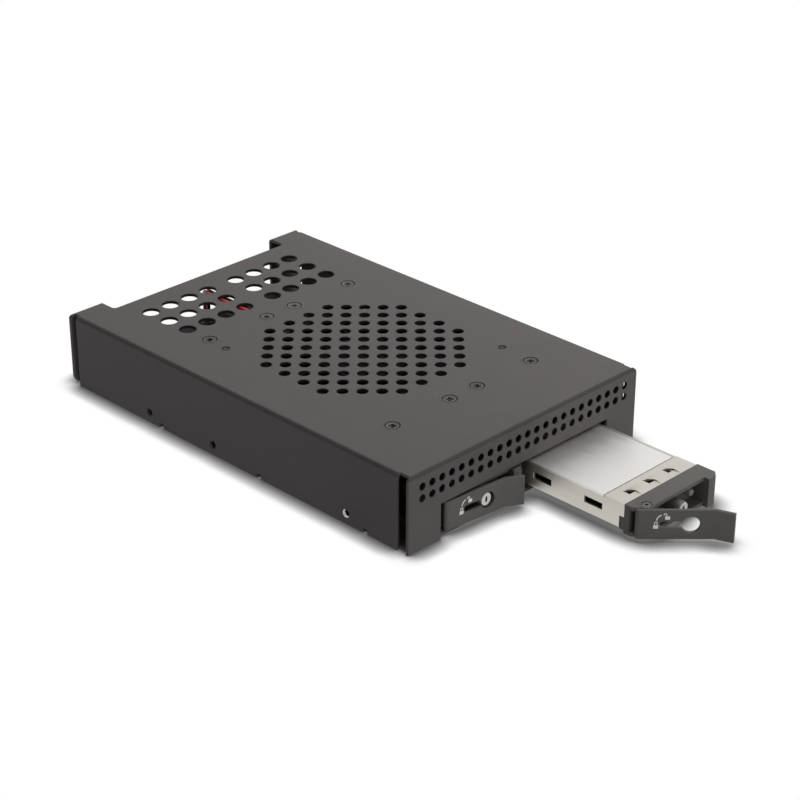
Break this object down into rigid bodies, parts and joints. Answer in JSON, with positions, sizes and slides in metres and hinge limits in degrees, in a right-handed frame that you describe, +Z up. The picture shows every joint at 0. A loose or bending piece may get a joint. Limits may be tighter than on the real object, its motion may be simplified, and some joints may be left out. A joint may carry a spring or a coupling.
{
  "type": "removable drive rack",
  "caption": "Flat black bay-mounted drive rack with side-by-side sliding trays, swing levers, turn locks and a fan under a punched grille.",
  "frame": {"origin": "middle of the case's underside, half the case's depth behind the front panel's outer face", "axes": "+X to the right seen from the front, +Y to the rear, +Z up"},
  "size_m": [0.1016, 0.2203, 0.0254],
  "materials": {
    "black_case": "satin powder coat",
    "black_screw": "black oxide",
    "plated_steel": "zinc plated",
    "fan_plastic": "moulded",
    "board_laminate": "solder mask",
    "connector_plastic": "moulded",
    "header_plastic": "moulded",
    "red_insulation": "smooth",
    "black_insulation": "smooth",
    "bezel_plastic": "fine texture",
    "lock_plastic": "smooth",
    "clear_plastic": "smooth"
  },
  "bodies": {
    "chassis": {"top_shell": "black_case", "cover_screws": "black_screw", "bottom_plate": "black_case", "left_cage": "plated_steel", "right_cage": "plated_steel", "cage_standoffs": "plated_steel", "locating_pins": "plated_steel", "fan_frame": "fan_plastic", "fan_screws": "plated_steel", "main_board": "board_laminate", "board_standoffs": "plated_steel", "board_screws": "plated_steel", "tray_sockets": "connector_plastic", "data_ports": "connector_plastic", "power_plug": "connector_plastic", "fan_header": "header_plastic", "fan_lead_red": "red_insulation", "fan_lead_black": "black_insulation"},
    "left_tray": {"left_tray_body": "plated_steel", "left_tray_cover": "plated_steel", "left_bezel": "bezel_plastic", "left_hinge_pin": "plated_steel", "left_light_pipe": "clear_plastic", "left_carrier_board": "board_laminate", "left_module_socket": "connector_plastic"},
    "right_tray": {"right_tray_body": "plated_steel", "right_tray_cover": "plated_steel", "right_bezel": "bezel_plastic", "right_hinge_pin": "plated_steel", "right_light_pipe": "clear_plastic", "right_carrier_board": "board_laminate", "right_module_socket": "connector_plastic"},
    "left_lever": {"left_lever": "bezel_plastic"},
    "right_lever": {"right_lever": "bezel_plastic"},
    "left_lock": {"left_lock": "lock_plastic"},
    "right_lock": {"right_lock": "lock_plastic"},
    "fan_rotor": {"fan_rotor": "fan_plastic"}
  },
  "joints": [
    {"name": "left_tray_slide", "type": "slide", "parent": "chassis", "child": "left_tray", "axis": [0, -1, 0], "range_m": [0, 0.122]},
    {"name": "right_tray_slide", "type": "slide", "parent": "chassis", "child": "right_tray", "axis": [0, -1, 0], "range_m": [-0.045, 0.077]},
    {"name": "left_lever_hinge", "type": "hinge", "parent": "left_tray", "child": "left_lever", "pos_m": [-0.0308, -0.0749, 0.00615], "axis": [0, 0, -1], "range_deg": [0, 38.4]},
    {"name": "right_lever_hinge", "type": "hinge", "parent": "right_tray", "child": "right_lever", "pos_m": [0.006, -0.1199, 0.00615], "axis": [0, 0, -1], "range_deg": [-38.4, 0]},
    {"name": "left_lock_turn", "type": "hinge", "parent": "left_tray", "child": "left_lock", "pos_m": [-0.0184, -0.0745, 0.00615], "axis": [0, 1, 0], "range_deg": [0, 90]},
    {"name": "right_lock_turn", "type": "hinge", "parent": "right_tray", "child": "right_lock", "pos_m": [0.0184, -0.1195, 0.00615], "axis": [0, 1, 0], "range_deg": [0, 90]},
    {"name": "fan_spin", "type": "hinge", "parent": "chassis", "child": "fan_rotor", "pos_m": [0, -0.0081, 0.018], "axis": [0, 0, 1], "continuous": true}
  ]
}
